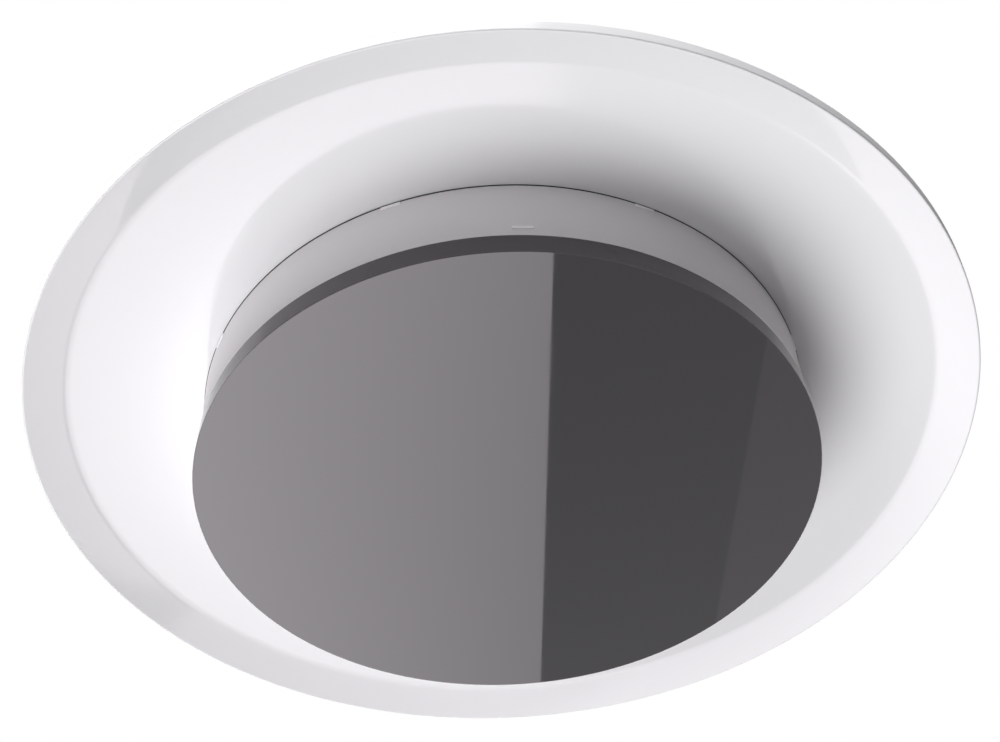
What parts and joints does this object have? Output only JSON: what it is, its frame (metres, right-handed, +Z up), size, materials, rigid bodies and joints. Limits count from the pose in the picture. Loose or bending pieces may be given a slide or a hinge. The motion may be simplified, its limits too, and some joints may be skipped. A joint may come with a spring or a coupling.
{
  "type": "round led wall light",
  "caption": "Round wall light: a glossy white dish with a low opal drum that lights it from its middle, closed by a flat dark gloss cap.",
  "frame": {"origin": "centre of the fixing slots, on the wall plane", "axes": "+Z up, -Y out of the wall towards the room, +X to the right as seen from the room"},
  "size_m": [0.3, 0.0587, 0.3],
  "materials": {
    "dish_lacquer": "gloss white lacquer on spun aluminium",
    "tray_coat": "matt white powder coat on die-cast aluminium",
    "opal_acrylic": "opal white acrylic, satin",
    "dark_gloss": "dark grey acrylic, mirror gloss",
    "black_rubber": "moulded black rubber",
    "zinc_steel": "bright zinc plating",
    "spring_steel": "rolled spring steel",
    "plain_aluminium": "pressed sheet",
    "white_board": "white solder mask",
    "led_phosphor": "yellow phosphor under clear resin",
    "white_plastic": "moulded white plastic",
    "green_board": "green solder mask",
    "component_black": "moulded black",
    "contact_brass": "stamped",
    "button_grey": "moulded grey plastic",
    "white_film": "matt white reflecting film",
    "brown_sleeve": "soft sleeve",
    "blue_sleeve": "soft sleeve",
    "green_sleeve": "soft sleeve",
    "red_sleeve": "soft sleeve",
    "black_sleeve": "soft sleeve"
  },
  "bodies": {
    "base": {"reflector_dish": "dish_lacquer", "base_tray": "tray_coat", "drum_seal": "black_rubber", "cable_grommet": "black_rubber", "dish_seal": "black_rubber", "wall_seal": "black_rubber", "bayonet_ring": "zinc_steel", "ring_screws": "zinc_steel", "carrier_screws": "zinc_steel", "driver_screws": "zinc_steel", "terminal_screws": "zinc_steel", "earth_screw": "zinc_steel", "earth_washer": "zinc_steel", "led_carrier": "plain_aluminium", "led_board": "white_board", "led_packages": "led_phosphor", "led_connector": "white_plastic", "terminal_block": "white_plastic", "driver_case": "white_plastic", "driver_lid": "white_plastic", "driver_board": "green_board", "driver_components": "component_black", "terminal_contacts": "contact_brass", "earth_tag": "contact_brass", "live_lead": "brown_sleeve", "neutral_lead": "blue_sleeve", "earth_lead": "green_sleeve", "led_lead_plus": "red_sleeve", "led_lead_minus": "black_sleeve"},
    "drum": {"diffuser_drum": "opal_acrylic", "cap_seal": "black_rubber"},
    "cap": {"front_cap": "dark_gloss", "cap_reflector": "white_film", "cap_clips": "spring_steel", "clip_screws": "zinc_steel"},
    "live_release": {"button_live": "button_grey"},
    "neutral_release": {"button_neutral": "button_grey"},
    "earth_release": {"button_earth": "button_grey"}
  },
  "joints": [
    {"name": "drum_twist", "type": "hinge", "parent": "base", "child": "drum", "pos_m": [0, -0.03, 0], "axis": [0, -1, 0], "range_deg": [0, 12]},
    {"name": "cap_pull", "type": "slide", "parent": "drum", "child": "cap", "axis": [0, -1, 0], "range_m": [0, 0.04]},
    {"name": "live_press", "type": "slide", "parent": "base", "child": "live_release", "axis": [0, 1, 0], "range_m": [0, 0.0015], "stiffness_N_per_m": 2000},
    {"name": "neutral_press", "type": "slide", "parent": "base", "child": "neutral_release", "axis": [0, 1, 0], "range_m": [0, 0.0015], "stiffness_N_per_m": 2000},
    {"name": "earth_press", "type": "slide", "parent": "base", "child": "earth_release", "axis": [0, 1, 0], "range_m": [0, 0.0015], "stiffness_N_per_m": 2000}
  ]
}
